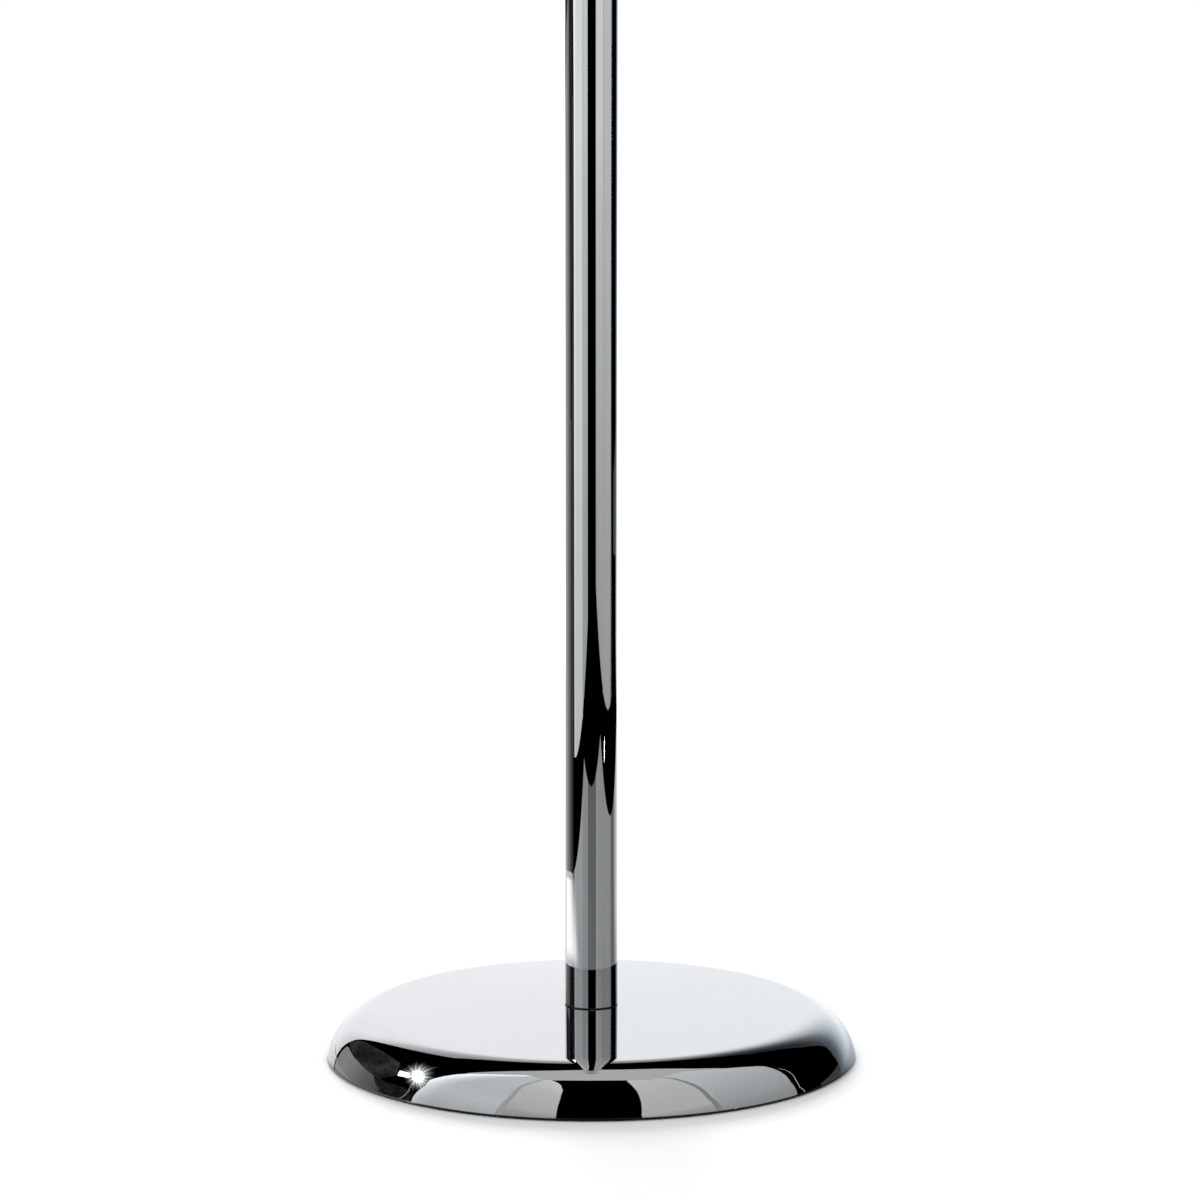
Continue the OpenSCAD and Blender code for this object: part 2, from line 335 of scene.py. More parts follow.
def arc(centre, radius, start, end, steps):
    """Points on an arc from start to end, in degrees from the outward level line."""
    points = []
    for step in range(steps + 1):
        angle = radians(start + (end - start) * step / steps)
        points.append((centre[0] + radius * cos(angle), centre[1] + radius * sin(angle)))
    return points


def joined(*paths):
    """Paths end to end, without the points that repeat."""
    points = []
    for path in paths:
        for point in path:
            if not points or hypot(point[0] - points[-1][0], point[1] - points[-1][1]) > 1e-7:
                points.append(point)
    return points


def straight(start, end, steps):
    """Evenly spaced points from start to end."""
    return [
        (start[0] + (end[0] - start[0]) * i / steps, start[1] + (end[1] - start[1]) * i / steps)
        for i in range(steps + 1)
    ]


# ---------------------------------------------------------------- base cover
cover_low, cover_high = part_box("base_cover")
BASE_R = cover_high.x
BASE_H = cover_high.z
SHEET = 1.2 * MM
BOLT_HOLE_R = 6.6 * MM
RIM_LIP_ANGLE = 14.0
RIM_MID_ANGLE = 45.0
RIM_TOP_ANGLE = 88.6
RIM_LOW_R = 40.0 * MM
RIM_HIGH_R = 28.0 * MM
HEM_R = 0.9 * MM
HEM_W = 8.0 * MM


def rim_point(centre, radius, angle):
    """The point on a circle at an angle in degrees."""
    return (centre[0] + radius * cos(radians(angle)), centre[1] + radius * sin(radians(angle)))


def cover_outline():
    """The spun sheet's section: dome, two rim arcs, hem bead, hem, and back up the inside."""
    lip_r = BASE_R - HEM_R * (1.0 - cos(radians(RIM_LIP_ANGLE)))
    low_w = RIM_LOW_R * (cos(radians(RIM_LIP_ANGLE)) - cos(radians(RIM_MID_ANGLE)))
    high_w = RIM_HIGH_R * (cos(radians(RIM_MID_ANGLE)) - cos(radians(RIM_TOP_ANGLE)))
    shoulder_r = lip_r - low_w - high_w
    dome_r = shoulder_r / cos(radians(RIM_TOP_ANGLE))
    dome_c = (0.0, BASE_H - dome_r)
    shoulder = rim_point(dome_c, dome_r, RIM_TOP_ANGLE)
    high_c = rim_point(shoulder, -RIM_HIGH_R, RIM_TOP_ANGLE)
    low_c = rim_point(high_c, RIM_HIGH_R - RIM_LOW_R, RIM_MID_ANGLE)
    hem_c = rim_point(low_c, RIM_LOW_R - HEM_R, RIM_LIP_ANGLE)

    def dome(radius, inner_r, outer_r, steps):
        level = straight((inner_r, 0.0), (outer_r, 0.0), steps)
        return [(r, dome_c[1] + sqrt(radius**2 - r**2)) for r, _ in level]

    outer = joined(
        dome(dome_r, BOLT_HOLE_R, shoulder[0], 60),
        arc(high_c, RIM_HIGH_R, RIM_TOP_ANGLE, RIM_MID_ANGLE, 56),
        arc(low_c, RIM_LOW_R, RIM_MID_ANGLE, RIM_LIP_ANGLE, 44),
        arc(hem_c, HEM_R, RIM_LIP_ANGLE, -90.0, 14),
    )
    hem_z = hem_c[1] - HEM_R
    hem_in = BASE_R - HEM_W
    inner_lip = rim_point(low_c, RIM_LOW_R - SHEET, RIM_LIP_ANGLE)
    inner = joined(
        [(hem_in, hem_z), (hem_in, hem_z + SHEET), (inner_lip[0] - 1.0 * MM, hem_z + SHEET)],
        arc(low_c, RIM_LOW_R - SHEET, RIM_LIP_ANGLE, RIM_MID_ANGLE, 12),
        arc(high_c, RIM_HIGH_R - SHEET, RIM_MID_ANGLE, RIM_TOP_ANGLE, 16),
        list(reversed(dome(dome_r - SHEET, BOLT_HOLE_R, shoulder[0] - 2.0 * MM, 20))),
    )
    return outer + inner


cover_mesh = lathe_mesh("spun_cover", cover_outline(), COVER_TURNS)
add_piece("spun_cover", cover_mesh, cover_chrome, "post", "base_cover")

# ---------------------------------------------------------------- tube and its foot gasket
tube_low, tube_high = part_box("post_tube")
TUBE_R = tube_high.x
TUBE_WALL = 1.5 * MM
TUBE_BREAK = 0.15 * MM


def tube_outline():
    """The tube's wall, with its cut ends broken by a small chamfer."""
    inner_r = TUBE_R - TUBE_WALL
    outer = straight((TUBE_R, tube_low.z + TUBE_BREAK), (TUBE_R, tube_high.z - TUBE_BREAK), 40)
    inner = straight((inner_r, tube_high.z - TUBE_BREAK), (inner_r, tube_low.z + TUBE_BREAK), 4)
    top = [(TUBE_R - TUBE_BREAK, tube_high.z), (inner_r + TUBE_BREAK, tube_high.z)]
    foot = [(inner_r + TUBE_BREAK, tube_low.z), (TUBE_R - TUBE_BREAK, tube_low.z)]
    return outer + top + inner + foot


tube_mesh = lathe_mesh("chrome_tube", tube_outline(), TUBE_TURNS)
add_piece("chrome_tube", tube_mesh, tube_chrome, "post", "post_tube")

gasket_low, gasket_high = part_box("foot_gasket")
GASKET_BULGE = 0.35 * MM


def gasket_outline():
    """A flat rubber washer whose edge bulges a little under the tube."""
    middle = (gasket_low.z + gasket_high.z) / 2.0
    half = (gasket_high.z - gasket_low.z) / 2.0
    edge = [
        (gasket_high.x + GASKET_BULGE * cos(radians(a)), middle + half * sin(radians(a)))
        for a in range(-90, 91, 15)
    ]
    return [(BOLT_HOLE_R, gasket_low.z)] + edge + [(BOLT_HOLE_R, gasket_high.z)]


gasket_mesh = lathe_mesh("pressed_gasket", gasket_outline(), GASKET_TURNS)
add_piece("pressed_gasket", gasket_mesh, gasket_rubber, "post", "foot_gasket")

# ---------------------------------------------------------------- head fittings
neck_low, neck_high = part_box("neck_fitting")
collar_low, collar_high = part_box("rope_collar")
seat_low, seat_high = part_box("finial_seat")
ball_low, ball_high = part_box("ball_finial")
BORE_R = 5.05 * MM
FLANGE_R = seat_high.x
JOURNAL_R = 10.0 * MM


def neck_outline():
    """Spigot, flange with round edges, and the journal that the collar turns on."""
    spigot_r = TUBE_R - TUBE_WALL
    foot_z = tube_high.z
    flange_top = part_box("lower_thrust_washer")[0].z
    edge = 1.5 * MM
    return joined(
        [(BORE_R, neck_low.z), (spigot_r - 1.0 * MM, neck_low.z), (spigot_r, neck_low.z + 1.0 * MM)],
        [(spigot_r, foot_z)],
        arc((FLANGE_R - edge, foot_z + edge), edge, -90.0, 0.0, 10),
        arc((FLANGE_R - edge, flange_top - edge), edge, 0.0, 90.0, 10),
        [(JOURNAL_R, flange_top), (JOURNAL_R, neck_high.z), (BORE_R, neck_high.z)],
    )


def seat_outline():
    """Flange, cove and waist, with the nut's pocket in the top."""
    edge = 1.2 * MM
    flange_h = 3.0 * MM
    cove_r = 4.5 * MM
    waist_r = 11.6 * MM
    pocket_r = 9.6 * MM
    pocket_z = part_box("jam_nut")[0].z
    cove_c = (waist_r + cove_r, seat_low.z + flange_h + cove_r)
    return joined(
        [(BORE_R, seat_low.z)],
        arc((FLANGE_R - edge, seat_low.z + edge), edge, -90.0, 0.0, 10),
        arc((FLANGE_R - edge, seat_low.z + flange_h - edge), edge, 0.0, 90.0, 10),
        arc(cove_c, cove_r, 270.0, 180.0, 18),
        [(waist_r, seat_high.z - 0.2 * MM), (waist_r - 0.2 * MM, seat_high.z)],
        [(pocket_r, seat_high.z), (pocket_r, pocket_z), (BORE_R, pocket_z)],
    )


def ball_outline():
    """A hollow ball with a flat foot and the hole that its brass insert fills."""
    radius = (ball_high.x - ball_low.x) / 2.0
    wall = 1.5 * MM
    centre = (0.0, ball_high.z - radius)
    seat_r = 11.0 * MM
    insert_r = 9.0 * MM
    start = -90.0 + np.degrees(np.arcsin(seat_r / radius))
    hollow_r = radius - wall
    stop = -90.0 + np.degrees(np.arcsin(insert_r / hollow_r))
    outer = arc(centre, radius, start, 90.0, 72)
    outer[-1] = (0.0, ball_high.z)
    inner = arc(centre, hollow_r, 90.0, stop, 24)
    inner[0] = (0.0, ball_high.z - wall)
    return outer + inner + [(insert_r, ball_low.z)]


neck_mesh = lathe_mesh("turned_neck", neck_outline(), HEAD_TURNS)
add_piece("turned_neck", neck_mesh, turned_chrome, "post", "neck_fitting")
seat_mesh = lathe_mesh("turned_seat", seat_outline(), HEAD_TURNS)
add_piece("turned_seat", seat_mesh, turned_chrome, "post", "finial_seat")
ball_mesh = lathe_mesh("ball", ball_outline(), HEAD_TURNS)
add_piece("ball", ball_mesh, ball_chrome, "post", "ball_finial")

# ---------------------------------------------------------------- rope collar
EYE_PITCH = 33.0 * MM
EYE_HOLE_R = 7.0 * MM
EYE_R = 12.0 * MM
EYE_H = 6.0 * MM
EYE_EDGE = 1.0 * MM
WEB_R = 26.0 * MM
WEB_H = 4.4 * MM
WEB_EDGE = 1.4 * MM
BUSH_R = 12.0 * MM
HUB_EDGE = 1.0 * MM
CAST_FILLET = 1.6 * MM
CASTING_GRID = 0.5 * MM
SURFACE_PASSES = 24
LONGEST_PULL = 0.4 * MM
collar_mid = (collar_low.z + collar_high.z) / 2.0
collar_h = collar_high.z - collar_low.z


def ring_distance(points, centre, inner_r, outer_r, height, edge):
    """Signed distance to a flat ring with rounded edges, negative inside the metal."""
    radius = np.hypot(points[:, 0] - centre[0], points[:, 1] - centre[1])
    across = np.abs(radius - (inner_r + outer_r) / 2.0) - (outer_r - inner_r) / 2.0 + edge
    up = np.abs(points[:, 2] - collar_mid) - height / 2.0 + edge
    outside = np.hypot(np.maximum(across, 0.0), np.maximum(up, 0.0))
    return outside + np.minimum(np.maximum(across, up), 0.0) - edge


def blend_in(first, second, fillet):
    """The union of two distances, with a fillet where they meet."""
    near = np.maximum(fillet - np.abs(first - second), 0.0) / fillet
    return np.minimum(first, second) - near * near * fillet / 4.0


def hole_distance(points, centre, radius, edge):
    """Distance into an eye's hole, whose mouth is rounded at both faces."""
    across = radius - np.hypot(points[:, 0] - centre[0], points[:, 1] - centre[1])
    up = np.abs(points[:, 2] - collar_mid) - EYE_H / 2.0
    flare = np.maximum(edge + up, 0.0)
    return across + edge - np.sqrt(np.maximum(edge**2 - flare**2, 0.0))


def eye_centres():
    return [(EYE_PITCH * cos(turn * pi / 2.0), EYE_PITCH * sin(turn * pi / 2.0)) for turn in range(4)]


def collar_distance(points):
    """Signed distance to the whole collar, negative inside the metal."""
    inside_bush = BUSH_R - 2.0 * MM
    shape = ring_distance(points, (0.0, 0.0), inside_bush, FLANGE_R, collar_h, HUB_EDGE)
    web = ring_distance(points, (0.0, 0.0), inside_bush, WEB_R, WEB_H, WEB_EDGE)
    shape = blend_in(shape, web, CAST_FILLET)
    for centre in eye_centres():
        eye = ring_distance(points, centre, EYE_HOLE_R, EYE_R, EYE_H, EYE_EDGE)
        shape = blend_in(shape, eye, CAST_FILLET)
    for centre in eye_centres():
        shape = np.maximum(shape, hole_distance(points, centre, EYE_HOLE_R, EYE_EDGE))
    bore = BUSH_R - np.hypot(points[:, 0], points[:, 1])
    return np.maximum(shape, bore)


def distance_slope(points):
    """Which way the distance grows, by central differences."""
    step = 0.02 * MM
    slope = np.zeros_like(points)
    for axis in range(3):
        offset = np.zeros(3)
        offset[axis] = step
        ahead = collar_distance(points + offset)
        behind = collar_distance(points - offset)
        slope[:, axis] = (ahead - behind) / (2.0 * step)
    return slope


def collar_mesh():
    """The casting's skin: a remeshed block of rings, then every point drawn onto the true surface."""
    block = bmesh.new()
    parts = [((0.0, 0.0), BUSH_R, WEB_R, collar_h)]
    for centre in eye_centres():
        parts.append((centre, EYE_HOLE_R, EYE_R, EYE_H))
    for centre, inner_r, outer_r, height in parts:
        low = collar_mid - height / 2.0
        high = collar_mid + height / 2.0
        section = [(inner_r, low), (outer_r, low), (outer_r, high), (inner_r, high)]
        ring = lathe_mesh("rough", section, ROUGH_TURNS, centre)
        block.from_mesh(ring)
        bpy.data.meshes.remove(ring)
    rough = bpy.data.meshes.new("collar_rough")
    block.to_mesh(rough)
    block.free()
    holder = bpy.data.objects.new("collar_rough", rough)
    bpy.context.scene.collection.objects.link(holder)
    remesh = holder.modifiers.new("remesh", "REMESH")
    remesh.mode = "VOXEL"
    remesh.voxel_size = CASTING_GRID
    bpy.context.view_layer.update()
    graph = bpy.context.evaluated_depsgraph_get()
    mesh = bpy.data.meshes.new_from_object(holder.evaluated_get(graph))
    bpy.data.objects.remove(holder)
    points = np.zeros(len(mesh.vertices) * 3)
    mesh.vertices.foreach_get("co", points)
    points = points.reshape(-1, 3)
    for _ in range(SURFACE_PASSES):
        slope = distance_slope(points)
        size = np.maximum((slope**2).sum(1), 0.25)
        pull = np.clip(collar_distance(points) / size, -LONGEST_PULL, LONGEST_PULL)
        points = points - slope * pull[:, None]
    mesh.vertices.foreach_set("co", points.ravel())
    mesh.update()
    mesh.shade_smooth()
    mesh.name = "cast_collar"
    return mesh


add_piece("cast_collar", collar_mesh(), cast_chrome, "collar", "rope_collar")

# ---------------------------------------------------------------- studio
# The floor and the white room are what the camera sees. Chrome sees only the set round the post:
# two tall light walls with a dark gap between them, a light ceiling, a backdrop and a grey table.
# Many of the corners and strengths of these cards are not free choices. They came out of separate
# programs, which followed sight lines off the chrome to the photo's reflections. Many stand to the
# centimetre as traced, and others were rounded further or moved.
LEFT_WALL = ((-0.50, -2.48), (-1.10, -0.43))
RIGHT_WALL = ((1.04, -2.19), (1.60, 0.30))
BACKDROP_Y = 1.5
BACKDROP_PEAK = 1.97
CEILING_Z = 4.2
SCREEN_AWAY = 3.3
BOARDS_NEAR = 0.6
TABLE_EDGES = ((-0.60, -1.02), (0.86, -1.02), (0.86, 1.2), (1.74, 1.5), (-1.24, 1.5), (-0.60, 0.727))
COOL = (0.97, 1.0, 1.012)
PLAIN = (1.0, 1.0, 0.99)
WARM = (1.0, 0.965, 0.955)


def only_for_chrome(card):
    """A card that mirrors show, and nothing else sees."""
    card.visible_camera = False
    card.visible_diffuse = False
    card.visible_transmission = False
    card.visible_volume_scatter = False
    card.visible_shadow = False


def card(name, corners, material):
    """A flat card that only mirrors show."""
    mesh = bpy.data.meshes.new(name)
    made = bmesh.new()
    made.faces.new([made.verts.new(corner) for corner in corners])
    bmesh.ops.triangulate(made, faces=made.faces)
    made.to_mesh(mesh)
    made.free()
    mesh.materials.append(material)
    holder = bpy.data.objects.new("stage_" + name, mesh)
    bpy.context.scene.collection.objects.link(holder)
    only_for_chrome(holder)
    return holder


def graded(name, colour, stops, top, lift=None):
    """Light whose strength changes with height, along stops of (height, strength).

    lift is (y from, y to, factor): the light grows by factor between those two places.
    """
    shader = Shader(name)
    spot = shader.node("TexCoord").outputs["Object"]
    axes = shader.node("SeparateXYZ", {"Vector": spot})
    place = shader.between(axes.outputs["Z"], 0.0, top, 0.0, 1.0)
    peak = max(strength for _, strength in stops)
    greys = [(z / top, (strength / peak,) * 3) for z, strength in stops]
    strength = shader.math("MULTIPLY", shader.ramp(place, greys), peak)
    if lift:
        near_edge = shader.between(axes.outputs["Y"], lift[0], lift[1], 0.0, 1.0)
        grown = shader.math("MULTIPLY", shader.math("POWER", near_edge, 2.2), lift[2] - 1.0)
        strength = shader.math("MULTIPLY", strength, shader.math("ADD", grown, 1.0))
    return shader.emit((*colour, 1.0), strength)


def flat_light(name, colour, strength):
    return Shader(name).emit((*colour, 1.0), strength)


def wall_card(name, wall, outline, material, off=0.0):
    """A card on a standing wall, from an outline of (metres along it, height), set off towards the post."""
    (ax, ay), (bx, by) = wall
    run = hypot(bx - ax, by - ay)
    ux = (bx - ax) / run
    uy = (by - ay) / run
    nx = -uy
    ny = ux
    if nx * ax + ny * ay > 0.0:
        nx = -nx
        ny = -ny
    corners = [(ax + ux * s + nx * off, ay + uy * s + ny * off, z) for s, z in outline]
    return card(name, corners, material)


def wall_line(name, wall, path, width, material):
    """A narrow upright strip on a wall, along a path of (metres along it, height)."""
    for step, ((s0, z0), (s1, z1)) in enumerate(zip(path, path[1:])):
        outline = [(s0, z0), (s0 + width, z0), (s1 + width, z1), (s1, z1)]
        wall_card("%s_%d" % (name, step), wall, outline, material, 0.02)


def make_left_wall():
    inner = graded("left_inner", PLAIN, [(0.0, 0.45), (0.18, 0.52), (0.33, 0.6), (0.5, 0.69), (0.66, 0.83),
                                         (1.1, 0.93), (2.0, 0.99), (3.4, 1.16), (4.4, 1.2)], 4.5)
    outer = graded("left_outer", COOL, [(0.0, 0.74), (0.2, 0.84), (0.4, 0.96), (0.66, 1.06), (1.2, 1.02),
                                        (2.1, 1.08), (4.4, 1.1)], 4.5, (-0.5, -0.18, 2.1))
    fold = flat_light("left_fold", COOL, 0.68)
    inner_outline = [(0.25, 0.0), (1.42, 0.0), (1.42, 1.0), (1.55, 1.6), (1.62, 4.45), (1.3, 4.43),
                     (1.02, 4.32), (0.75, 4.0), (0.45, 3.2), (0.30, 1.91), (0.25, 0.56)]
    outer_outline = [(1.42, 0.0), (2.29, 0.0), (2.27, 0.15), (2.21, 0.31), (2.26, 0.46), (2.32, 0.61),
                     (2.4, 0.84), (2.46, 1.5), (2.46, 4.45), (1.62, 4.45), (1.55, 1.6), (1.42, 1.0)]
    wall_card("left_inner", LEFT_WALL, inner_outline, inner)
    wall_card("left_outer", LEFT_WALL, outer_outline, outer)
    fold_path = [(1.35, 0.0), (1.33, 0.5), (1.36, 1.2), (1.5, 2.0), (1.62, 4.45)]
    wall_line("left_fold", LEFT_WALL, fold_path, 0.07, fold)
    trim = flat_light("left_trim", COOL, 0.75)
    trim_path = [(2.45, 0.0), (2.42, 0.1), (2.385, 0.2), (2.38, 0.33), (2.42, 0.46), (2.48, 0.62)]
    wall_line("left_trim", LEFT_WALL, trim_path, 0.008, trim)


def make_right_wall():
    inner = graded("right_inner", PLAIN, [(0.0, 0.45), (0.18, 0.54), (0.33, 0.62), (0.5, 0.74), (0.66, 0.9),
                                          (1.0, 0.9), (1.75, 0.95), (3.0, 1.0), (6.3, 1.1)], 6.4)
    outer = graded("right_outer", COOL, [(0.0, 0.48), (0.33, 0.6), (0.54, 0.7), (0.86, 0.78), (1.5, 0.92),
                                         (2.6, 1.05), (4.2, 1.1)], 6.4)
    fold = flat_light("right_fold", COOL, 0.45)
    line = flat_light("right_line", PLAIN, 1.6)
    inner_outline = [(-0.36, 0.0), (1.25, 0.0), (1.25, 0.9), (1.4, 1.8), (1.6, 3.3), (1.9, 6.3),
                     (0.5, 6.3), (0.3, 5.0), (0.02, 3.06), (-0.36, 0.75)]
    outer_outline = [(1.25, 0.0), (2.31, 0.0), (2.265, 0.2), (2.26, 0.41), (2.33, 0.59), (2.45, 0.86),
                     (2.56, 1.16), (2.66, 1.5), (2.72, 4.2), (1.7, 4.2), (1.6, 3.3), (1.4, 1.8), (1.25, 0.9)]
    wall_card("right_inner", RIGHT_WALL, inner_outline, inner)
    wall_card("right_outer", RIGHT_WALL, outer_outline, outer)
    fold_path = [(1.2, 0.0), (1.2, 0.9), (1.34, 1.8), (1.55, 3.3), (1.88, 6.3)]
    wall_line("right_fold", RIGHT_WALL, fold_path, 0.08, fold)
    line_path = [(2.45, 0.0), (2.44, 0.14), (2.4, 0.25), (2.43, 0.44), (2.52, 0.69), (2.585, 0.92),
                 (2.6, 1.12)]
    wall_line("right_line", RIGHT_WALL, line_path, 0.007, line)


def make_ceiling():
    light = flat_light("ceiling_light", PLAIN, 0.86)
    corners = [(-2.8, -1.06), (2.8, -1.06), (2.8, 0.75), (1.68, 0.96), (0.85, 1.32), (0.0, 1.36),
               (-0.71, 0.93), (-1.46, 0.54), (-2.07, 0.26), (-2.8, 0.0)]
    card("ceiling", [(x, y, CEILING_Z) for x, y in corners], light)


def backdrop_light():
    """Brightest low down behind the post, and falling away upwards and to the right."""
    shader = Shader("backdrop_light")
    spot = shader.node("TexCoord").outputs["Object"]
    axes = shader.node("SeparateXYZ", {"Vector": spot})
    x = axes.outputs["X"]
    z = axes.outputs["Z"]
    across = shader.between(x, -1.3, 1.3, 0.0, 1.0)
    cast = [(0.42, (0.975, 0.978, 0.995)), (0.5, (0.962, 0.974, 0.982)), (0.58, (0.928, 0.97, 0.98)),
            (0.68, (0.925, 0.972, 0.975)), (0.8, (0.845, 0.91, 0.98)), (0.95, (0.79, 0.9, 0.99))]
    colour = shader.ramp(across, cast)
    left = shader.between(x, -1.15, -0.85, 0.8, 1.0)
    slant = shader.between(shader.math("ADD", x, shader.math("MULTIPLY", z, 0.7)), 0.6, 2.1, 0.0, 1.0)
    fade = [(0.0, 1.0), (0.08, 0.98), (0.2, 0.85), (0.3, 0.73), (0.4, 0.58), (0.48, 0.46), (0.63, 0.22),
            (0.73, 0.14), (0.93, 0.06)]
    right = shader.ramp(slant, [(place, (level,) * 3) for place, level in fade])
    height = shader.between(z, 0.8, 1.8, 0.0, 1.0)
    rise = [(0.0, 1.0), (0.12, 0.97), (0.3, 0.8), (0.47, 0.54), (0.6, 0.5), (0.9, 0.34)]
    high = shader.ramp(height, [(place, (level,) * 3) for place, level in rise])
    strength = shader.math("MULTIPLY", shader.math("MULTIPLY", left, right), high)
    return shader.emit(colour, shader.math("MULTIPLY", strength, BACKDROP_PEAK))


def make_backdrop():
    outline = [(-1.21, 0.0), (-1.2, 0.3), (-1.22, 0.52), (-1.06, 1.31), (-0.91, 2.13), (-0.5, 1.9),
               (-0.08, 1.66), (0.3, 1.68), (0.99, 1.88), (1.2, 1.6), (1.48, 1.3), (1.52, 0.66),
               (1.7, 0.41), (1.74, 0.0)]
    card("backdrop", [(x, BACKDROP_Y, z) for x, z in outline], backdrop_light())


def round_the_post(azimuth, distance, z):
    """A point by its azimuth from the camera's side, positive to the right, in degrees."""
    return (distance * sin(radians(azimuth)), -distance * cos(radians(azimuth)), z)


def screen_light(stops):
    """The screen's light by azimuth, along stops of (degrees, strength)."""
    shader = Shader("screen_light")
    spot = shader.node("TexCoord").outputs["Object"]
    axes = shader.node("SeparateXYZ", {"Vector": spot})
    turn = shader.math("ARCTAN2", axes.outputs["X"], shader.math("MULTIPLY", axes.outputs["Y"], -1.0))
    first = stops[0][0]
    last = stops[-1][0]
    place = shader.between(turn, radians(first), radians(last), 0.0, 1.0)
    greys = [((azimuth - first) / (last - first), (strength,) * 3) for azimuth, strength in stops]
    # The colour version of the Mix node has its factor, colours and result at these sockets.
    inputs = {6: shader.ramp(place, greys), 7: (*WARM, 1.0), 0: 1.0}
    warm = shader.node("Mix", inputs, data_type="RGBA", blend_type="MULTIPLY")
    return shader.emit(warm.outputs[2], 1.0)


def dark_room_light(name, scale, stops):
    """The unlit room: dim, cloudy light, along stops of (cloud, strength)."""
    shader = Shader(name)
    cloud = shader.noise(scale, 4.0, EVERY_WAY, 0.6, 0.4)
    greys = [(place, tinted(COOL, strength)) for place, strength in stops]
    return shader.emit(shader.ramp(cloud, greys), 1.0)


def make_far_corner():
    """The darker left of the room: a warm grey screen standing on boards, and dim cases behind it."""
    light = screen_light([(-140.5, 0.5), (-132.0, 0.52), (-122.0, 0.4), (-113.0, 0.26), (-106.5, 0.205),
                          (-101.0, 0.13), (-95.0, 0.06), (-84.0, 0.04)])
    top = [(-140.5, 0.62), (-138.0, 0.7), (-129.0, 0.79), (-118.0, 0.93), (-108.0, 0.87), (-104.0, 0.56),
           (-97.0, 0.26), (-84.0, 0.3)]
    near = BOARDS_NEAR
    far = SCREEN_AWAY
    for (start, low), (end, high) in zip(top, top[1:]):
        corners = [(start, far, 0.0), (end, far, 0.0), (end, far, high), (start, far, low)]
        card("screen_%d" % -start, [round_the_post(*corner) for corner in corners], light)
        corners = [(start, near, 0.0), (end, near, 0.0), (end, far, 0.0), (start, far, 0.0)]
        card("boards_%d" % -start, [round_the_post(*corner) for corner in corners], light)
    high = dark_room_light("high_room", 1.1, [(0.34, 0.012), (0.5, 0.045), (0.62, 0.085)])
    corners = [(-142, 0.75), (-104, 0.9), (-99, 1.7), (-112, 2.5), (-130, 2.2), (-142, 1.5)]
    card("high_room", [round_the_post(azimuth, 3.4, z) for azimuth, z in corners], high)
    dim = dark_room_light("low_room", 4.0, [(0.38, 0.01), (0.54, 0.03), (0.66, 0.09)])
    corners = [(-106, 0.2), (-81, 0.2), (-81, 1.0), (-88, 1.1), (-97, 1.0), (-106, 0.9)]
    card("low_room", [round_the_post(azimuth, 3.35, z) for azimuth, z in corners], dim)
    corners = [(112, 0.0), (133, 0.0), (133, 0.2), (112, 0.12)]
    light = flat_light("skirting", COOL, 0.1)
    card("skirting", [round_the_post(azimuth, 3.2, z) for azimuth, z in corners], light)


# The lit patch's right edge slants: it turns by so many radians for each metre past the pivot.
PATCH_PIVOT = 0.275
PATCH_SLANT = 1.41


def table_light():
    """Grey and glossy, brighter behind, with a lit patch at the left and a shadow close before the base."""
    shader = Shader("table_light")
    spot = shader.node("TexCoord").outputs["Object"]
    axes = shader.node("SeparateXYZ", {"Vector": spot})
    x = axes.outputs["X"]
    y = axes.outputs["Y"]
    squares = shader.math("ADD", shader.math("MULTIPLY", x, x), shader.math("MULTIPLY", y, y))
    away = shader.math("SQRT", squares)
    turn = shader.math("ARCTAN2", x, shader.math("MULTIPLY", y, -1.0))
    further = shader.math("SUBTRACT", away, PATCH_PIVOT)
    slanted = shader.math("ADD", turn, shader.math("MULTIPLY", further, PATCH_SLANT))
    sides = shader.math("MULTIPLY",
                        shader.between(turn, radians(-138), radians(-130), 0.0, 1.0, True),
                        shader.between(slanted, radians(-88), radians(-46), 1.0, 0.0, True))
    ends = shader.math("MULTIPLY",
                       shader.between(away, 0.565, 0.595, 1.0, 0.0, True),
                       shader.between(away, 0.24, 0.33, 0.0, 1.0, True))
    patch = shader.math("MULTIPLY", shader.math("MULTIPLY", sides, ends), 1.95)
    behind = shader.math("MULTIPLY",
                         shader.between(y, 0.0, 0.34, 0.0, 0.75, True),
                         shader.between(turn, radians(112), radians(124), 0.0, 1.0, True))
    behind_left = shader.math("MULTIPLY",
                              shader.between(y, -0.03, 0.01, 0.0, 0.8, True),
                              shader.between(x, -0.16, -0.1, 1.0, 0.0, True))
    lit = shader.math("ADD", shader.math("MAXIMUM", patch, shader.math("MAXIMUM", behind, behind_left)), 0.27)
    front = shader.between(away, BASE_R + 0.001, BASE_R + 0.03, 0.0, 1.0, True)
    side = shader.math("MAXIMUM",
                       shader.between(turn, radians(75), radians(95), 0.0, 1.0, True),
                       shader.between(turn, radians(-55), radians(-30), 1.0, 0.0, True))
    lit = shader.math("MULTIPLY", lit, shader.math("MAXIMUM", front, side))
    flat = shader.node("Emission", {"Color": (1.0, 1.0, 1.01, 1.0), "Strength": lit})
    gloss = shader.node("BsdfGlossy", {"Color": (1.0, 1.0, 1.0, 1.0), "Roughness": 0.05})
    fresnel = shader.node("Fresnel", {"IOR": 1.5}).outputs["Fac"]
    both = shader.node("MixShader", {"Fac": fresnel})
    shader.tree.links.new(flat.outputs[0], both.inputs[1])
    shader.tree.links.new(gloss.outputs[0], both.inputs[2])
    shader.tree.links.new(both.outputs[0], shader.output.inputs["Surface"])
    return shader.material


FLOOR_REACH = 40.0


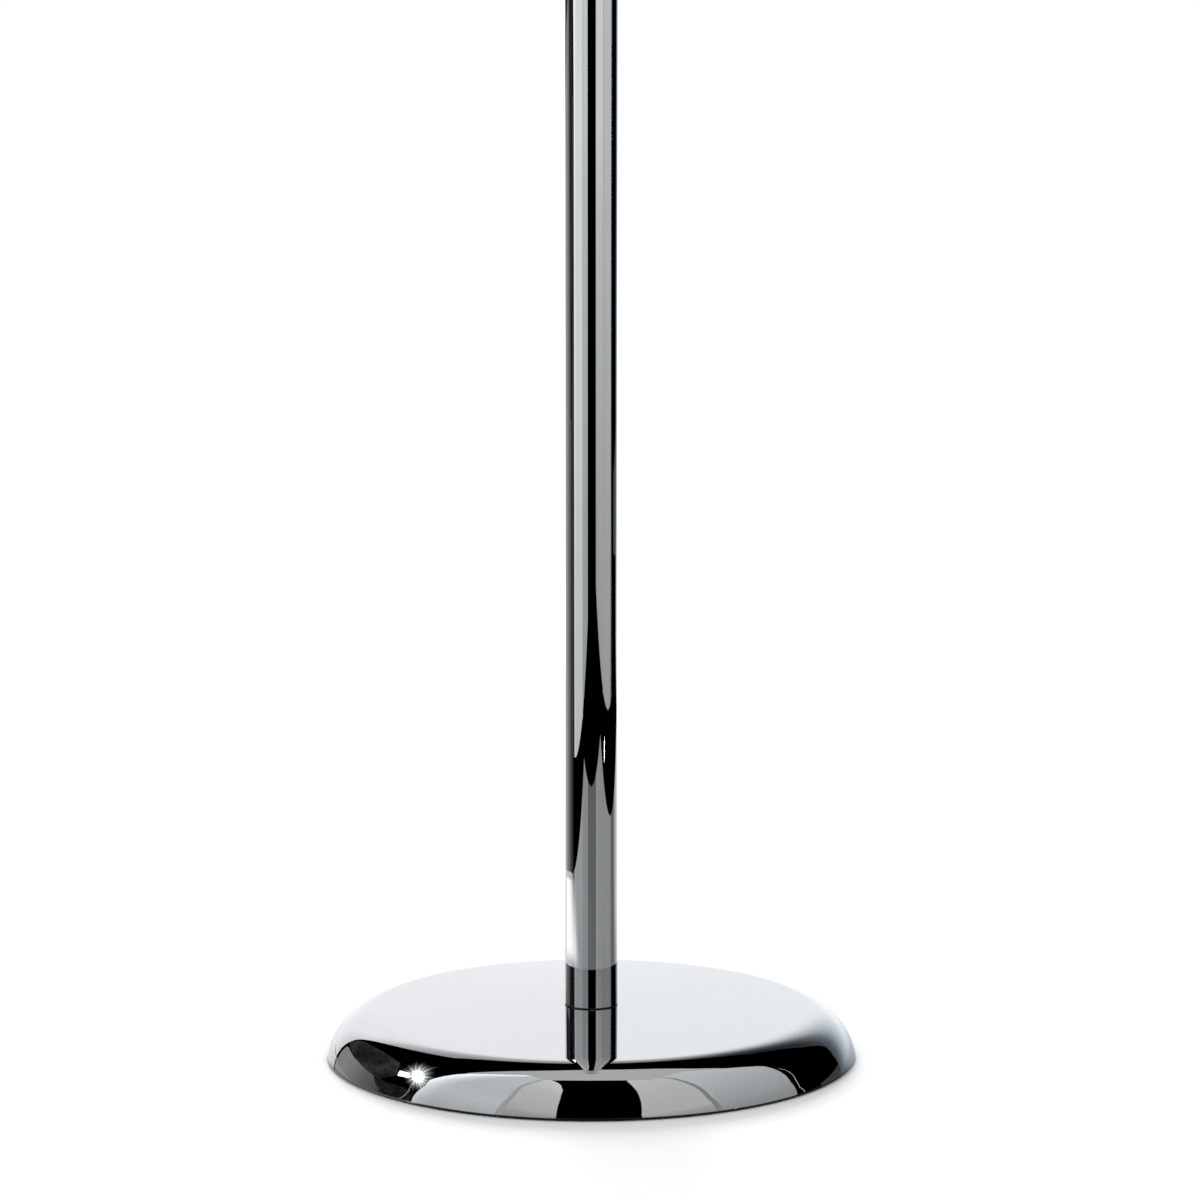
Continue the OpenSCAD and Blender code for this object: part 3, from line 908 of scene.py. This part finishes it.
def make_floor():
    """The pale floor that the camera sees, and the grey table that chrome sees in its place."""
    card("table", [(x, y, -0.001) for x, y in TABLE_EDGES], table_light())
    shader = Shader("pale_floor")
    speckle = shader.noise(40.0, 3.0)
    base = shader.ramp(speckle, [(0.3, (0.735, 0.738, 0.75)), (0.7, (0.745, 0.748, 0.76))])
    paint = shader.principled(Base_Color=base, Roughness=0.9, Specular_IOR_Level=0.0)
    mesh = bpy.data.meshes.new("floor")
    made = bmesh.new()
    bmesh.ops.create_grid(made, x_segments=4, y_segments=4, size=FLOOR_REACH)
    made.to_mesh(mesh)
    made.free()
    mesh.materials.append(paint)
    floor = bpy.data.objects.new("stage_floor", mesh)
    bpy.context.scene.collection.objects.link(floor)
    floor.visible_glossy = False


ROOM_LIGHT = 1.01
KEY_AZIMUTH = -173.0
KEY_RISE = radians(29.0)


def make_room():
    """White all round for the camera and for diffuse light, and unseen by mirrors."""
    world = bpy.data.worlds.new("white_room")
    bpy.context.scene.world = world
    world.use_nodes = True
    background = world.node_tree.nodes["Background"]
    background.inputs["Color"].default_value = (1.0, 1.0, 1.0, 1.0)
    background.inputs["Strength"].default_value = ROOM_LIGHT
    world.cycles_visibility.glossy = False


def make_key():
    """A broad soft light, low behind the post, which lays the short shadow in front of the base."""
    data = bpy.data.lights.new("soft_light", "SUN")
    data.energy = 3.1
    data.angle = radians(24.0)
    light = bpy.data.objects.new("soft_light", data)
    bpy.context.scene.collection.objects.link(light)
    toward = Vector(round_the_post(KEY_AZIMUTH, cos(KEY_RISE), sin(KEY_RISE)))
    light.rotation_euler = (-toward).to_track_quat("-Z", "Y").to_euler()
    light.visible_glossy = False
    light.visible_camera = False


# The rim's tight curve squeezes and slants what it mirrors, so the lamp is drawn on two slanted axes
# across its line of sight, and looks round there. Each axis is (share to the side, share up).
LAMP_PLACE = (-1.737, 0.013, 1.185)
LAMP_SEEN_FROM = (-0.10, -0.12, 0.02)
LAMP_ACROSS = (0.49, 0.87)
LAMP_RISE = (-2.13, 1.84)
LAMP_CORE_R = 0.09
LAMP_GLOW_R = 0.30
LAMP_RAYS = 24
RAY_HALF_W = 0.012
RAY_FADE = 0.4


def glow(name, reach, strength, power):
    """Light that is strongest at the lamp's middle and clears to nothing at reach."""
    shader = Shader(name)
    flat = shader.node("TexCoord").outputs["UV"]
    away = shader.node("VectorMath", {0: flat}, operation="LENGTH").outputs["Value"]
    amount = shader.math("POWER", shader.between(away, 0.0, reach, 1.0, 0.0), power)
    light = shader.node("Emission", {"Color": (0.97, 1.0, 1.0, 1.0), "Strength": strength})
    clear = shader.node("BsdfTransparent")
    both = shader.node("MixShader", {"Fac": amount})
    shader.tree.links.new(clear.outputs[0], both.inputs[1])
    shader.tree.links.new(light.outputs[0], both.inputs[2])
    shader.tree.links.new(both.outputs[0], shader.output.inputs["Surface"])
    return shader.material


def lamp_card(name, outline, off, material):
    """A card in the lamp's plane, which keeps its flat coordinates as its UV map."""
    centre = Vector(LAMP_PLACE)
    toward = (Vector(LAMP_SEEN_FROM) - centre).normalized()
    side = toward.cross(Vector((0.0, 0.0, 1.0))).normalized()
    up = side.cross(toward)
    across = side * LAMP_ACROSS[0] + up * LAMP_ACROSS[1]
    rise = side * LAMP_RISE[0] + up * LAMP_RISE[1]
    made = card(name, [centre + across * x + rise * y + toward * off for x, y in outline], material)
    flat = made.data.uv_layers.new(name="flat")
    for loop in made.data.loops:
        flat.data[loop.index].uv = outline[loop.vertex_index]


def make_lamp():
    """A bare lamp at the left, with the halo and the star of rays that a small bright light makes."""
    middle = (0.0, 0.0)
    bright = flat_light("lamp_core", PLAIN, 30.0)
    lamp_card("lamp_core", arc(middle, LAMP_CORE_R, 0.0, 345.0, 23), 0.03, bright)
    halo = glow("lamp_glow", LAMP_GLOW_R, 5.0, 3.4)
    lamp_card("lamp_glow", arc(middle, LAMP_GLOW_R, 0.0, 345.0, 23), 0.02, halo)
    rays = glow("lamp_rays", RAY_FADE, 3.0, 2.1)
    for i in range(LAMP_RAYS):
        angle = 360.0 * i / LAMP_RAYS + 5.0 * (i * 7 % 3)
        reach = 0.24 + 0.04 * (i * 5 % 4)
        tip = rim_point(middle, reach, angle)
        left = rim_point(middle, RAY_HALF_W, angle + 90.0)
        right = rim_point(middle, RAY_HALF_W, angle - 90.0)
        lamp_card("lamp_ray_%d" % i, [left, right, tip], 0.01, rays)
    window = [(-97.3, 0.87), (-91.5, 0.99), (-96.4, 1.17), (-101.5, 1.07)]
    pane = flat_light("lamp_window", PLAIN, 5.0)
    card("lamp_window", [round_the_post(azimuth, 1.75, z) for azimuth, z in window], pane)
    glint = flat_light("floor_glint", PLAIN, 9.0)
    strip = [(0.97, 0.0), (1.02, 0.0), (1.02, 0.02), (0.97, 0.02)]
    card("floor_glint", [(x, -0.60, z) for x, z in strip], glint)


make_left_wall()
make_right_wall()
make_ceiling()
make_backdrop()
make_far_corner()
make_floor()
make_room()
make_key()
make_lamp()

view_settings = bpy.context.scene.view_settings
view_settings.view_transform = "Standard"
